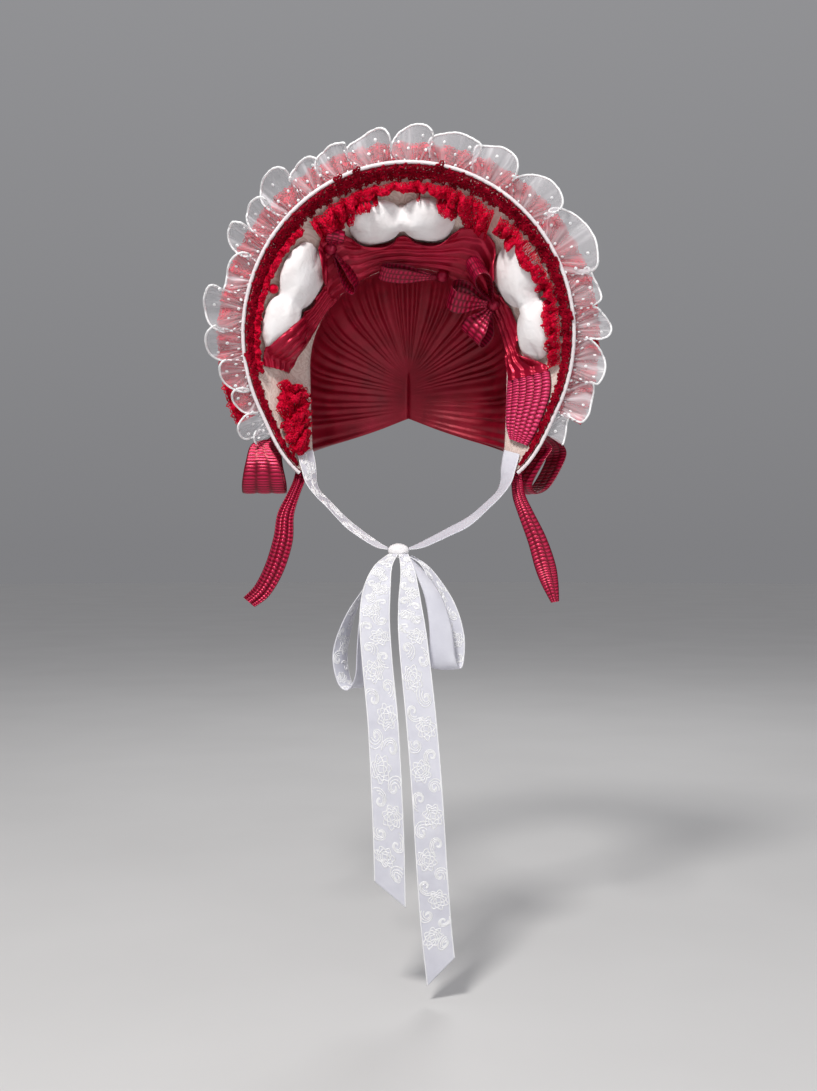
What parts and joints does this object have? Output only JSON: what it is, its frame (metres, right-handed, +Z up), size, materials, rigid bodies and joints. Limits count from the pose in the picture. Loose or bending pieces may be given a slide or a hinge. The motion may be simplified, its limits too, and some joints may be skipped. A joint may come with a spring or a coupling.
{
  "type": "lolita bonnet",
  "caption": "Wide-brimmed bonnet of wine satin with a dotted organza frill, red lace, padded puffs and ladder ribbon bows on its lining, a gathered crown and a long white chin tie.",
  "frame": {"origin": "top of the seam between brim and crown, inside the crown, where the bonnet sits on the head", "axes": "+Z up, -Y the way the wearer faces, +X to the right seen from the front"},
  "size_m": [0.4039, 0.2672, 0.8191],
  "materials": {
    "wine_satin": "satin",
    "cream_brocade": "satin brocade",
    "white_cord": "matte",
    "organza": "sheer with raised dots",
    "red_lace": "openwork",
    "wine_lace": "openwork",
    "white_puff": "soft, padded",
    "ladder_satin": "satin ribbon with ladder stripes",
    "white_jacquard": "satin jacquard"
  },
  "bodies": {
    "root": {"brim": "wine_satin", "brim_lining": "cream_brocade", "rim_piping": "white_cord", "crown": "wine_satin", "organza_frill": "organza", "outer_lace_frill": "red_lace", "rim_lace": "wine_lace", "puff_left": "white_puff", "puff_top": "white_puff", "puff_right": "white_puff", "puff_lace_top": "red_lace", "puff_lace_left": "red_lace", "puff_lace_right": "red_lace", "cheek_lace_left": "red_lace", "lace_knot_left": "red_lace", "swag_top": "wine_satin", "swag_left": "wine_satin", "swag_right": "wine_satin", "ladder_ribbon_right": "ladder_satin", "bow_right_loop_upper": "ladder_satin", "bow_right_loop_left": "ladder_satin", "bow_right_loop_lower": "ladder_satin", "bow_right_knot": "ladder_satin", "bow_left_loop_upper": "ladder_satin", "bow_left_loop_lower": "ladder_satin", "bow_left_knot": "ladder_satin", "brim_loop_top": "ladder_satin", "brim_knot_top": "ladder_satin", "side_loop_left": "ladder_satin", "side_loop_right": "ladder_satin", "side_tail_left": "ladder_satin", "side_tail_right": "ladder_satin", "tie_strap_left": "white_jacquard", "tie_strap_right": "white_jacquard", "tie_knot": "white_jacquard", "tie_loop_left": "white_jacquard", "tie_loop_right": "white_jacquard", "tie_tail_left": "white_jacquard", "tie_tail_right": "white_jacquard"}
  },
  "joints": []
}
